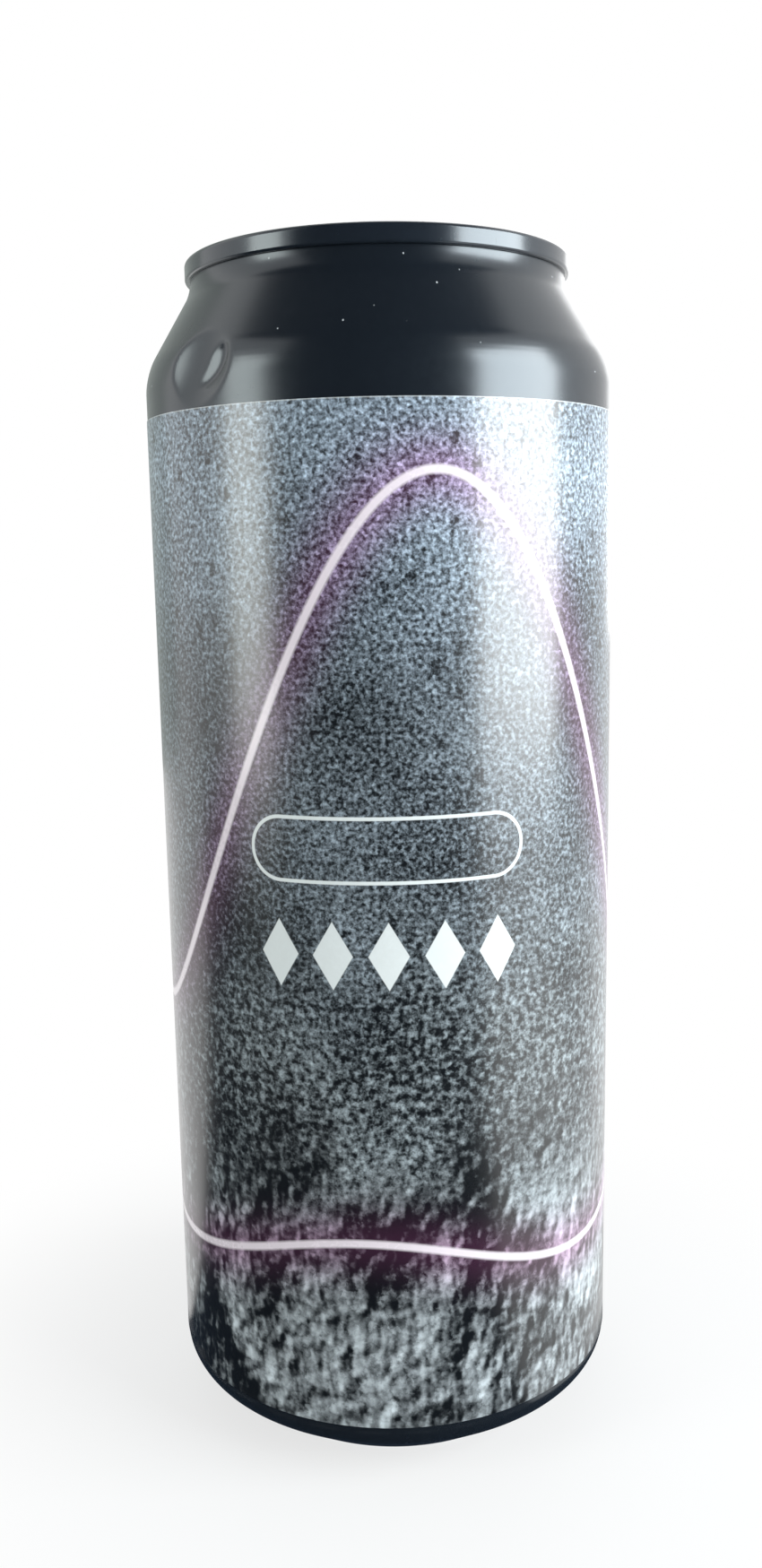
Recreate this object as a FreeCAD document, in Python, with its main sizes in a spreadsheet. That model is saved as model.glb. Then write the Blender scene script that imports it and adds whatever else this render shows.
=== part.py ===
"""Half-litre drinks can: drawn body, wrap-round label, seamed-on end and stay-on tab.

Millimetres, +Z up. The origin is the middle of the ring that the can stands on, and the label's
front faces -Y. The can is shut and full, so the body is solid inside.
"""
import FreeCAD, Part
import Sketcher
import math
import os

TURN = 360.0
FLAT_TOLERANCE = 1e-5

# name, value in millimetres or degrees, what it is
DIMENSIONS = (
    ("can_height", 168.0, "from the standing ring to the top of the seam"),
    ("body_radius", 33.1, "outside of the straight wall"),
    # foot
    ("stand_radius", 23.9, "middle of the ring that the can stands on"),
    ("stand_flat", 0.5, "width of that ring"),
    ("nose_fillet", 1.4, "rounding each side of the ring"),
    ("foot_angle", 38.0, "slope of the foot's cone above the ground"),
    ("heel_fillet", 4.0, "rounding from the cone into the wall"),
    ("leg_height", 4.4, "height of the leg inside the ring"),
    ("leg_lean", 5.0, "inward lean of that leg"),
    ("dome_depth", 10.4, "middle of the dome above the ground"),
    ("dome_fillet", 1.3, "rounding from the leg into the dome"),
    # shoulder and neck
    ("shoulder_angle", 31.0, "slope of the shoulder off the vertical"),
    ("shoulder_fillet", 9.0, "rounding from the wall into the shoulder"),
    ("neck_fillet", 5.5, "rounding from the shoulder into the neck"),
    ("neck_radius", 26.4, "outside of the neck"),
    ("neck_land", 1.6, "neck between the seam and the shoulder's slope"),
    ("neck_wall", 0.5, "neck outside the end's plug"),
    # dent in the shoulder
    ("dent_bearing", -41.0, "dent round the can from the front, to the left"),
    ("dent_rise", 1.15, "middle of the dent above the top of the straight wall"),
    ("dent_tilt", 14.0, "upward tilt of the blow that made it"),
    ("dent_lean", 14.0, "lean of the hollow off the vertical"),
    ("dent_depth", 1.4, "hollow's deepest point inside the wall's own curve"),
    ("dent_long_radius", 38.0, "curve of the hollow along its length"),
    ("dent_cross_radius", 13.0, "curve of the hollow across it"),
    # label
    ("label_thickness", 0.1, "one layer of label"),
    ("label_foot_gap", 0.5, "bare wall under the label"),
    ("label_shoulder_gap", 3.6, "bare wall above the label"),
    ("label_lap", 7.0, "length of the lap at the back"),
    # seam
    ("seam_height", 2.55, "seam, top to bottom"),
    ("seam_overhang", 0.7, "seam outside the neck"),
    ("seam_width", 1.25, "seam, inside to outside"),
    ("seam_crown", 0.6, "rounding of the seam's top"),
    ("seam_hem", 0.4, "rounding of the seam's lower edge"),
    # end
    ("chuck_angle", 14.0, "lean of the wall inside the seam"),
    ("countersink_depth", 6.5, "bottom of the countersink below the seam's top"),
    ("countersink_width", 1.3, "width of its floor before rounding"),
    ("countersink_fillet", 0.5, "rounding in the countersink"),
    ("end_floor", 0.5, "metal under the countersink"),
    ("panel_depth", 4.2, "panel below the seam's top"),
    ("panel_fillet", 0.5, "rounding round the panel"),
    ("deboss_depth", 0.35, "sunk field round the tab and the opening"),
    ("deboss_margin", 1.6, "panel left outside the sunk field at the pouring side"),
    ("deboss_pour_radius", 15.2, "sunk field at the pouring side"),
    ("deboss_heel_gap", 1.3, "sunk field round the tab's heel"),
    ("deboss_fillet", 0.25, "rounding of its upper edge"),
    ("well_radius", 5.4, "finger well under the tab's heel"),
    ("well_gap", 0.6, "finger well past the tab's heel"),
    ("well_depth", 0.35, "finger well below the sunk field"),
    # opening
    ("mouth_width", 21.6, "scored outline, side to side"),
    ("mouth_length", 16.2, "scored outline, front to back"),
    ("mouth_gap", 3.7, "scored outline from the rivet's middle"),
    ("score_width", 0.3, "score line"),
    ("score_depth", 0.12, "score line"),
    ("score_spacing", 1.1, "from the score line to the second one inside it"),
    ("bead_radius", 4.6, "curved bead on the tear panel"),
    ("bead_width", 1.3, "that bead, across"),
    ("bead_height", 0.28, "that bead, upwards"),
    ("bead_sweep", 70.0, "half of the angle that the bead covers"),
    # rivet
    ("boss_radius", 3.1, "raised seat under the tab"),
    ("shank_radius", 1.6, "rivet through the tab"),
    ("head_radius", 2.5, "rivet's head"),
    ("head_height", 0.35, "rivet's head"),
    ("head_fillet", 0.15, "rounding of the head"),
    ("head_dimple_radius", 0.9, "hollow in the head"),
    ("head_dimple_depth", 0.2, "hollow in the head"),
    # tab
    ("tab_gap", 0.15, "sunk field to the tab's underside"),
    ("tab_thickness", 1.15, "curled edge"),
    ("tab_nose_radius", 7.9, "tab at the nose"),
    ("tab_nose_reach", 8.2, "rivet to the tip of the nose"),
    ("tab_heel_radius", 6.7, "tab at the heel"),
    ("tab_heel_reach", 17.2, "rivet to the tip of the heel"),
    ("tab_curl_fillet", 0.45, "rounding of the curled edge"),
    ("tab_hem", 1.8, "width of the curled edge"),
    ("web_lift", 0.4, "tab's underside to the web"),
    ("web_thickness", 0.3, "web"),
    ("web_fillet", 0.3, "rounding down to the web"),
    ("island_radius", 4.35, "middle of the slot round the rivet"),
    ("island_slot", 0.7, "width of that slot"),
    ("island_hinge", 80.0, "angle left whole in front of the rivet"),
    ("finger_bar", 1.7, "bar between the web and the finger hole"),
    ("finger_corner", 3.4, "corners of the finger hole"),
    ("finger_fillet", 0.4, "rounding of its edge"),
)

# heights and radii that follow from the cells
SEAM_BOTTOM = "(dims.can_height - dims.seam_height)"
NECK_CORNER = "(dims.can_height - dims.seam_height - dims.neck_land)"
CONE_RISE = "((dims.body_radius - dims.neck_radius) / tan(dims.shoulder_angle))"
SHOULDER_CORNER = f"({NECK_CORNER} - {CONE_RISE})"
CONE_LENGTH = "((dims.body_radius - dims.neck_radius) / sin(dims.shoulder_angle))"
HALF_TURN = "tan(dims.shoulder_angle / 2)"
# both roundings shrink together where the shoulder's slope is too short for them
FILLET_ROOM = (
    f"min(1; 0.98 * {CONE_LENGTH} / ((dims.shoulder_fillet + dims.neck_fillet) * {HALF_TURN}))"
)
SHOULDER_FILLET = f"(dims.shoulder_fillet * {FILLET_ROOM})"
NECK_FILLET = f"(min(dims.neck_fillet * {FILLET_ROOM}; 0.98 * dims.neck_land / {HALF_TURN}))"
WALL_TOP = f"({SHOULDER_CORNER} - {SHOULDER_FILLET} * {HALF_TURN})"

STAND_OUTER = (
    "(dims.stand_radius + dims.stand_flat / 2 + dims.nose_fillet * tan(dims.foot_angle / 2))"
)
STAND_INNER = (
    "(dims.stand_radius - dims.stand_flat / 2 - dims.nose_fillet * tan(45 - dims.leg_lean / 2))"
)
LEG_TOP_RADIUS = f"({STAND_INNER} - dims.leg_height * tan(dims.leg_lean))"
HEEL_CORNER = f"((dims.body_radius - {STAND_OUTER}) * tan(dims.foot_angle))"
WALL_FOOT = f"({HEEL_CORNER} + dims.heel_fillet * tan(45 - dims.foot_angle / 2))"

LABEL_FOOT = f"({WALL_FOOT} + dims.label_foot_gap)"
LABEL_HEIGHT = f"({WALL_TOP} - dims.label_shoulder_gap - {LABEL_FOOT})"
LABEL_RADIUS = "(dims.body_radius + dims.label_thickness)"
LAP_HALF_ANGLE = f"(dims.label_lap / {LABEL_RADIUS} * 90 / pi)"

PLUG_RADIUS = "(dims.neck_radius - dims.neck_wall)"
PLUG_FLOOR = "(dims.can_height - dims.countersink_depth - dims.end_floor)"
SEAM_RADIUS = "(dims.neck_radius + dims.seam_overhang)"
SEAM_INNER = f"({SEAM_RADIUS} - dims.seam_width)"
COUNTERSINK_FLOOR = "(dims.can_height - dims.countersink_depth)"
COUNTERSINK_OUTER = f"({SEAM_INNER} - dims.countersink_depth * tan(dims.chuck_angle))"
PANEL_RADIUS = f"({COUNTERSINK_OUTER} - dims.countersink_width)"
PANEL_HEIGHT = "(dims.can_height - dims.panel_depth)"
DEBOSS_HEIGHT = f"({PANEL_HEIGHT} - dims.deboss_depth)"
DEBOSS_POUR = f"({PANEL_RADIUS} - dims.deboss_margin - dims.deboss_pour_radius)"
DEBOSS_HEEL_RADIUS = "(dims.tab_heel_radius + dims.deboss_heel_gap)"
TAB_HEEL_CENTRE = "(dims.tab_heel_reach - dims.tab_heel_radius)"
# the seam's wall leans, so its inner corner takes less room than a square one
CORNER_ROOM = "(0.95 / (1 + tan(45 - dims.chuck_angle / 2)))"
SEAM_CROWN = f"(min(dims.seam_crown; dims.seam_width * {CORNER_ROOM}))"
COUNTERSINK_FILLET = f"(min(dims.countersink_fillet; dims.countersink_width * {CORNER_ROOM}))"

TAB_BOTTOM = f"({DEBOSS_HEIGHT} + dims.tab_gap)"
TAB_TOP = f"({TAB_BOTTOM} + dims.tab_thickness)"
WEB_BOTTOM = f"({TAB_BOTTOM} + dims.web_lift)"
WEB_TOP = f"({WEB_BOTTOM} + dims.web_thickness)"
HEAD_TOP = f"({WEB_TOP} + dims.head_height)"
WEB_RADIUS = "(dims.tab_nose_radius - dims.tab_hem)"
WEB_DEPTH = f"({TAB_TOP} - {WEB_TOP})"
FINGER_WIDTH = "(2 * (dims.tab_heel_radius - dims.tab_hem))"
FINGER_START = f"({WEB_RADIUS} + dims.finger_bar)"
FINGER_LENGTH = f"(dims.tab_heel_reach - dims.tab_hem - {FINGER_START})"
FINGER_CORNER = f"(min(dims.finger_corner; 0.48 * {FINGER_WIDTH}; 0.48 * {FINGER_LENGTH}))"
EDGE_LIMIT = "0.45 * dims.tab_thickness"

doc = FreeCAD.newDocument("DrinksCan")


def make_sheet():
    """The driving dimensions, one to a row: alias, value, meaning."""
    sheet = doc.addObject("Spreadsheet::Sheet", "dims")
    for row, (alias, value, meaning) in enumerate(DIMENSIONS, start=1):
        sheet.set(f"A{row}", alias)
        sheet.set(f"B{row}", str(value))
        sheet.setAlias(f"B{row}", alias)
        sheet.set(f"C{row}", meaning)
    doc.recompute()
    return sheet


def number(owner, expression):
    """The value of an expression on the sheet's cells, as a plain number."""
    value = owner.evalExpression(expression)
    return float(getattr(value, "Value", value))


def make_body(name):
    body = doc.addObject("PartDesign::Body", name)
    body.Label = name
    return body


def make_sketch(body, name, plane="XY_Plane", height=None):
    """An empty sketch on one of the body's own planes, raised to a height where one is given."""
    sketch = body.newObject("Sketcher::SketchObject", name)
    support = next(o for o in body.Origin.OriginFeatures if o.Role == plane)
    sketch.AttachmentSupport = [(support, "")]
    sketch.MapMode = "FlatFace"
    if height is not None:
        sketch.setExpression("AttachmentOffset.Base.z", height)
    return sketch


def constrain(sketch, expression, kind, *where):
    """A dimension in a sketch, bound to an expression."""
    index = sketch.addConstraint(Sketcher.Constraint(kind, *where, number(sketch, expression)))
    sketch.setExpression(f"Constraints[{index}]", expression)


def pin_point(sketch, geometry, end, across, up):
    """Places a point of a sketch by its two coordinates. A coordinate of "0" puts it on that axis."""
    if across == "0":
        sketch.addConstraint(Sketcher.Constraint("PointOnObject", geometry, end, -2))
    else:
        constrain(sketch, across, "DistanceX", -1, 1, geometry, end)
    if up == "0":
        sketch.addConstraint(Sketcher.Constraint("PointOnObject", geometry, end, -1))
    else:
        constrain(sketch, up, "DistanceY", -1, 1, geometry, end)


def point(sketch, across, up):
    return FreeCAD.Vector(number(sketch, across), number(sketch, up), 0)


def add_arc(sketch, centre, radius, start, end):
    """An arc between two points, anticlockwise about its centre."""
    angles = [math.atan2(p.y - centre.y, p.x - centre.x) for p in (start, end)]
    if angles[1] <= angles[0]:
        angles[1] += 2 * math.pi
    circle = Part.Circle(centre, FreeCAD.Vector(0, 0, 1), radius)
    return sketch.addGeometry(Part.ArcOfCircle(circle, *angles), False)


def join(sketch, first, first_end, second, second_end, kind="Coincident"):
    sketch.addConstraint(Sketcher.Constraint(kind, first, first_end, second, second_end))


def draw_polygon(sketch, corners, dome_between=None):
    """A closed outline through corners given as expressions.

    dome_between is the number of the side that is an arc centred on the upright axis.
    """
    places = [point(sketch, *corner) for corner in corners]
    sides = []
    for number_of_side, start in enumerate(places):
        end = places[(number_of_side + 1) % len(places)]
        if number_of_side == dome_between:
            # centre of the circle through the apex (start) and the rim (end)
            rise = (end.x**2 + end.y**2 - start.y**2) / (2 * (end.y - start.y))
            centre = FreeCAD.Vector(0, rise, 0)
            side = add_arc(sketch, centre, start.y - rise, end, start)
            sketch.addConstraint(Sketcher.Constraint("PointOnObject", side, 3, -2))
            sides.append((side, 2, 1))
        else:
            sides.append((sketch.addGeometry(Part.LineSegment(start, end), False), 1, 2))
    for index, (across, up) in enumerate(corners):
        side, start_end, _ = sides[index]
        before, _, last_end = sides[index - 1]
        join(sketch, before, last_end, side, start_end)
        pin_point(sketch, side, start_end, across, up)


def draw_circle(sketch, radius, up="0"):
    circle = Part.Circle(point(sketch, "0", up), FreeCAD.Vector(0, 0, 1), number(sketch, radius))
    index = sketch.addGeometry(circle, False)
    pin_point(sketch, index, 3, "0", up)
    constrain(sketch, radius, "Radius", index)


def draw_tapered_slot(sketch, low_centre, low_radius, high_centre, high_radius):
    """The outline round two circles on the Y axis, with straight sides tangent to both."""
    low, high = number(sketch, low_centre), number(sketch, high_centre)
    small, large = number(sketch, high_radius), number(sketch, low_radius)
    lean = math.asin((large - small) / (high - low))
    rim = FreeCAD.Vector(math.cos(lean), math.sin(lean), 0)
    left_rim = FreeCAD.Vector(-rim.x, rim.y, 0)
    low_point, high_point = FreeCAD.Vector(0, low, 0), FreeCAD.Vector(0, high, 0)
    bottom = add_arc(sketch, low_point, large, low_point + left_rim * large, low_point + rim * large)
    top = add_arc(sketch, high_point, small, high_point + rim * small, high_point + left_rim * small)
    right = sketch.addGeometry(
        Part.LineSegment(low_point + rim * large, high_point + rim * small), False
    )
    left = sketch.addGeometry(
        Part.LineSegment(high_point + left_rim * small, low_point + left_rim * large), False
    )
    join(sketch, bottom, 2, right, 1, "Tangent")
    join(sketch, right, 2, top, 1, "Tangent")
    join(sketch, top, 2, left, 1, "Tangent")
    join(sketch, left, 2, bottom, 1, "Tangent")
    for arc, centre, radius in ((bottom, low_centre, low_radius), (top, high_centre, high_radius)):
        pin_point(sketch, arc, 3, "0", centre)
        constrain(sketch, radius, "Radius", arc)


def draw_ellipse(sketch, half_width, half_length, up):
    """An ellipse on the Y axis, wider than it is long."""
    centre = point(sketch, "0", up)
    side = centre + FreeCAD.Vector(number(sketch, half_width), 0, 0)
    front = centre + FreeCAD.Vector(0, number(sketch, half_length), 0)
    index = sketch.addGeometry(Part.Ellipse(side, front, centre), False)
    before = sketch.GeometryCount
    sketch.exposeInternalGeometry(index)
    pin_point(sketch, index, 3, "0", up)
    major, minor = before, before + 1
    sketch.addConstraint(Sketcher.Constraint("Horizontal", major))
    constrain(sketch, f"2 * {half_width}", "Distance", major)
    constrain(sketch, f"2 * {half_length}", "Distance", minor)


def draw_arc_slot(sketch, up, radius, width, middle_angle, half_sweep):
    """A curved slot about a point on the Y axis, with round ends."""
    centre = point(sketch, "0", up)
    mean, half = number(sketch, radius), number(sketch, width) / 2
    middle, sweep = math.radians(middle_angle), math.radians(number(sketch, half_sweep))
    rays = [FreeCAD.Vector(math.cos(a), math.sin(a), 0) for a in (middle - sweep, middle + sweep)]
    outer = add_arc(sketch, centre, mean + half, *(centre + ray * (mean + half) for ray in rays))
    inner = add_arc(sketch, centre, mean - half, *(centre + ray * (mean - half) for ray in rays))
    first = add_arc(
        sketch, centre + rays[0] * mean, half, *(centre + rays[0] * (mean + s * half) for s in (-1, 1))
    )
    last = add_arc(
        sketch, centre + rays[1] * mean, half, *(centre + rays[1] * (mean + s * half) for s in (1, -1))
    )
    join(sketch, first, 2, outer, 1, "Tangent")
    join(sketch, outer, 2, last, 1, "Tangent")
    join(sketch, last, 2, inner, 2, "Tangent")
    join(sketch, inner, 1, first, 1, "Tangent")
    pin_point(sketch, outer, 3, "0", up)
    pin_point(sketch, inner, 3, "0", up)
    constrain(sketch, f"{radius} + {width} / 2", "Radius", outer)
    constrain(sketch, f"{radius} - {width} / 2", "Radius", inner)
    for cap, sign in ((first, "-"), (last, "+")):
        angle = f"({middle_angle} {sign} {half_sweep})"
        constrain(sketch, f"{radius} * cos{angle}", "DistanceX", -1, 1, cap, 3)


def draw_rounded_rectangle(sketch, width, length, low_side, corner):
    """A rectangle across the Y axis, from low_side upwards, with equal round corners."""
    half, tall = number(sketch, width) / 2, number(sketch, length)
    low, rounding = number(sketch, low_side), number(sketch, corner)
    inner = [
        FreeCAD.Vector(x * (half - rounding), y, 0)
        for x, y in ((1, low + rounding), (1, low + tall - rounding))
    ]
    inner += [FreeCAD.Vector(-p.x, p.y, 0) for p in reversed(inner)]
    rays = [FreeCAD.Vector(*ray, 0) * rounding for ray in ((0, -1), (1, 0), (0, 1), (-1, 0))]
    arcs = [
        add_arc(sketch, centre, rounding, centre + rays[i], centre + rays[(i + 1) % 4])
        for i, centre in enumerate(inner)
    ]
    sides = [
        sketch.addGeometry(
            Part.LineSegment(inner[i] + rays[(i + 1) % 4], inner[(i + 1) % 4] + rays[(i + 1) % 4]),
            False,
        )
        for i in range(4)
    ]
    for i in range(4):
        join(sketch, arcs[i], 2, sides[i], 1, "Tangent")
        join(sketch, sides[i], 2, arcs[(i + 1) % 4], 1, "Tangent")
        constrain(sketch, corner, "Radius", arcs[i])
    pin_point(sketch, arcs[0], 3, f"{width} / 2 - {corner}", f"{low_side} + {corner}")
    pin_point(sketch, arcs[2], 3, f"-({width} / 2 - {corner})", f"{low_side} + {length} - {corner}")


def revolve(body, name, sketch):
    feature = body.newObject("PartDesign::Revolution", name)
    feature.Profile = sketch
    feature.ReferenceAxis = (sketch, ["V_Axis"])
    feature.Angle = TURN
    doc.recompute()
    return feature


def extrude(body, kind, name, sketch, length=None, upwards=False):
    """A Pad, or a Pocket that cuts downwards unless told otherwise. No length cuts right through."""
    before = body.Tip
    feature = body.newObject(f"PartDesign::{kind}", name)
    feature.Profile = sketch
    if length is None:
        feature.Type = "ThroughAll"
    else:
        feature.setExpression("Length", length)
    feature.Reversed = upwards
    doc.recompute()
    if kind == "Pocket" and not feature.Shape.Volume < before.Shape.Volume:
        raise RuntimeError(f"{name} cuts nothing")
    return feature


def fillet(body, name, edges, radius):
    """Rounds edges of the body's newest feature."""
    feature = body.newObject("PartDesign::Fillet", name)
    feature.Base = (edges[0], edges[1])
    feature.setExpression("Radius", radius)
    doc.recompute()
    return feature


def ring_edges(feature, *rings):
    """The full circles about the can's axis with these radii and heights."""
    wanted = [(number(feature, radius), number(feature, height)) for radius, height in rings]
    names = []
    for index, edge in enumerate(feature.Shape.Edges, start=1):
        if edge.Degenerated or not isinstance(edge.Curve, Part.Circle):
            continue
        centre = edge.Curve.Center
        for radius, height in wanted:
            miss = math.hypot(centre.x, centre.y) + abs(centre.z - height)
            if miss + abs(edge.Curve.Radius - radius) < FLAT_TOLERANCE:
                names.append(f"Edge{index}")
    if len(names) != len(wanted):
        raise RuntimeError(f"{feature.Name}: found {len(names)} of {len(wanted)} rings")
    return feature, names


def level_face(feature, height, upwards, near):
    """The flat level face at a height whose outline comes nearest to a point, given as (x, y)."""
    level = number(feature, height)
    spot = Part.Vertex(*near, level)
    faces = [
        face
        for face in feature.Shape.Faces
        if isinstance(face.Surface, Part.Plane)
        and abs(face.BoundBox.ZMin - level) + abs(face.BoundBox.ZMax - level) < FLAT_TOLERANCE
        and (face.normalAt(0, 0).z > 0) == upwards
    ]
    return min(faces, key=lambda face: face.distToShape(spot)[0])


def wire_edges(feature, *wires):
    """The names in a feature of the edges of some of its wires."""
    wanted = [edge for wire in wires for edge in wire.Edges]
    names = [
        f"Edge{index}"
        for index, edge in enumerate(feature.Shape.Edges, start=1)
        if any(edge.isSame(other) for other in wanted)
    ]
    return feature, names


def inner_wires(face):
    return [wire for wire in face.Wires if not wire.isSame(face.OuterWire)]


def press(body, name, long_radius, cross_radius, depth, bearing, lean):
    """Presses the outside of a ring into the shoulder, square to the wall there, to a depth.

    long_radius curves the hollow along its length and cross_radius across it. A lean of 0 stands
    the hollow upright.
    """
    tool = body.newObject("PartDesign::SubtractiveTorus", name)
    tool.setExpression("Radius1", f"{long_radius} - {cross_radius}")
    tool.setExpression("Radius2", cross_radius)
    support = next(o for o in body.Origin.OriginFeatures if o.Role == "XY_Plane")
    tool.AttachmentSupport = [(support, "")]
    tool.MapMode = "FlatFace"
    # the ring's axis lies level, along the wall, with the ring outside the can
    stand_off = f"({long_radius} - {depth})"
    surface = f"(dims.body_radius + {stand_off} * cos(dims.dent_tilt))"
    height = f"({WALL_TOP} + dims.dent_rise + {stand_off} * sin(dims.dent_tilt))"
    base = f"vector({surface} * sin({bearing}); -{surface} * cos({bearing}); {height})"
    rotation = f"rotation({bearing} - 90; -dims.dent_tilt; 90 + {lean})"
    tool.setExpression("AttachmentOffset", f"placement({base}; {rotation})")
    doc.recompute()
    return tool


def build_can_body():
    """Drawn body: domed foot, straight wall, die-formed shoulder and neck, and the dent."""
    body = make_body("can_body")
    profile = make_sketch(body, "can_profile", "XZ_Plane")
    corners = [
        ("0", "dims.dome_depth"),
        (LEG_TOP_RADIUS, "dims.leg_height"),
        (STAND_INNER, "0"),
        (STAND_OUTER, "0"),
        ("dims.body_radius", HEEL_CORNER),
        ("dims.body_radius", SHOULDER_CORNER),
        ("dims.neck_radius", NECK_CORNER),
        ("dims.neck_radius", SEAM_BOTTOM),
        (PLUG_RADIUS, SEAM_BOTTOM),
        (PLUG_RADIUS, PLUG_FLOOR),
        ("0", PLUG_FLOOR),
    ]
    draw_polygon(profile, corners, dome_between=0)
    turned = revolve(body, "turned_body", profile)
    dome = fillet(body, "dome_rounding", ring_edges(turned, corners[1]), "dims.dome_fillet")
    nose = fillet(body, "nose_rounding", ring_edges(dome, *corners[2:4]), "dims.nose_fillet")
    heel = fillet(body, "heel_rounding", ring_edges(nose, corners[4]), "dims.heel_fillet")
    shoulder = fillet(body, "shoulder_rounding", ring_edges(heel, corners[5]), SHOULDER_FILLET)
    fillet(body, "neck_rounding", ring_edges(shoulder, corners[6]), NECK_FILLET)
    press(
        body, "dent_hollow", "dims.dent_long_radius", "dims.dent_cross_radius",
        "dims.dent_depth", "dims.dent_bearing", "dims.dent_lean",
    )
    return body


def build_label():
    """Label wrapped once round the wall, its last stretch lapped over its first at the back."""
    body = make_body("label")
    section = make_sketch(body, "label_section", height=LABEL_FOOT)
    draw_circle(section, "dims.body_radius")
    outer = f"({LABEL_RADIUS} + dims.label_thickness)"
    ends = [
        (f"{LABEL_RADIUS} * cos(90 - {LAP_HALF_ANGLE})", f"{LABEL_RADIUS} * sin(90 - {LAP_HALF_ANGLE})"),
        (f"{outer} * cos(90 + {LAP_HALF_ANGLE})", f"{outer} * sin(90 + {LAP_HALF_ANGLE})"),
        (f"{LABEL_RADIUS} * cos(90 + {LAP_HALF_ANGLE})", f"{LABEL_RADIUS} * sin(90 + {LAP_HALF_ANGLE})"),
    ]
    start, lip, root = (point(section, *end) for end in ends)
    # the lap's outside leaves the wrap at the start, tangent to it, and ends a layer above it
    chord = lip - start
    inward = FreeCAD.Vector(-start.x, -start.y, 0).normalize()
    lap_radius = chord.Length**2 / (2 * chord.dot(inward))
    lap = add_arc(section, start + inward * lap_radius, lap_radius, start, lip)
    edge = section.addGeometry(Part.LineSegment(lip, root), False)
    wrap = add_arc(section, FreeCAD.Vector(0, 0, 0), number(section, LABEL_RADIUS), root, start)
    join(section, lap, 2, edge, 1)
    join(section, edge, 2, wrap, 1)
    join(section, wrap, 2, lap, 1, "Tangent")
    join(section, wrap, 3, -1, 1)
    for geometry, end in ((edge, 1), (edge, 2)):
        pin_point(section, geometry, end, *ends[end])
    constrain(section, ends[0][0], "DistanceX", -1, 1, wrap, 2)
    extrude(body, "Pad", "label_wrap", section, LABEL_HEIGHT)
    return body


def build_can_end():
    """End seamed on to the neck: seam, countersink, panel, sunk field, scored mouth and rivet."""
    body = make_body("can_end")
    profile = make_sketch(body, "end_profile", "XZ_Plane")
    corners = [
        ("0", PLUG_FLOOR),
        (PLUG_RADIUS, PLUG_FLOOR),
        (PLUG_RADIUS, SEAM_BOTTOM),
        (SEAM_RADIUS, SEAM_BOTTOM),
        (SEAM_RADIUS, "dims.can_height"),
        (SEAM_INNER, "dims.can_height"),
        (COUNTERSINK_OUTER, COUNTERSINK_FLOOR),
        (PANEL_RADIUS, COUNTERSINK_FLOOR),
        (PANEL_RADIUS, PANEL_HEIGHT),
        ("0", PANEL_HEIGHT),
    ]
    draw_polygon(profile, corners)
    turned = revolve(body, "turned_end", profile)
    crown = fillet(body, "seam_crown_rounding", ring_edges(turned, *corners[4:6]), SEAM_CROWN)
    hem = fillet(body, "seam_hem_rounding", ring_edges(crown, corners[3]), "dims.seam_hem")
    sink = fillet(body, "countersink_rounding", ring_edges(hem, *corners[6:8]), COUNTERSINK_FILLET)
    fillet(body, "panel_rounding", ring_edges(sink, corners[8]), "dims.panel_fillet")
    sink_panel(body)
    score_mouth(body)
    set_rivet(body)
    return body


def sink_panel(body):
    """The sunk field that the tab lies in, and the finger well at its heel."""
    field = make_sketch(body, "field_outline", height=PANEL_HEIGHT)
    draw_tapered_slot(
        field,
        f"-{DEBOSS_POUR}",
        "dims.deboss_pour_radius",
        TAB_HEEL_CENTRE,
        DEBOSS_HEEL_RADIUS,
    )
    sunk = extrude(body, "Pocket", "sunk_field", field, "dims.deboss_depth")
    panel = level_face(sunk, PANEL_HEIGHT, True, (number(sunk, PANEL_RADIUS), 0))
    edges = wire_edges(sunk, *inner_wires(panel))
    fillet(body, "field_rounding", edges, "dims.deboss_fillet")
    well = make_sketch(body, "well_outline", height=PANEL_HEIGHT)
    draw_circle(well, "dims.well_radius", "(dims.tab_heel_reach + dims.well_gap - dims.well_radius)")
    extrude(body, "Pocket", "finger_well", well, "dims.deboss_depth + dims.well_depth")


def score_mouth(body):
    """Two score lines, one inside the other, and a curved bead on the panel that tears open."""
    middle = "(-dims.mouth_gap - dims.mouth_length / 2)"
    for name, inset in (("score", "0"), ("inner_score", "dims.score_spacing")):
        line = make_sketch(body, f"{name}_outline", height=DEBOSS_HEIGHT)
        for edge in ("0", "dims.score_width"):
            draw_ellipse(
                line,
                f"(dims.mouth_width / 2 - {inset} - {edge})",
                f"(dims.mouth_length / 2 - {inset} - {edge})",
                middle,
            )
        extrude(body, "Pocket", name, line, "dims.score_depth")
    bead = make_sketch(body, "bead_outline", height=DEBOSS_HEIGHT)
    draw_arc_slot(bead, middle, "dims.bead_radius", "dims.bead_width", -90, "dims.bead_sweep")
    raised = extrude(body, "Pad", "tear_bead", bead, "dims.bead_height")
    crest = level_face(raised, f"{DEBOSS_HEIGHT} + dims.bead_height", True, (0, 0))
    fillet(body, "bead_rounding", wire_edges(raised, crest.OuterWire), "0.7 * dims.bead_height")


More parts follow.
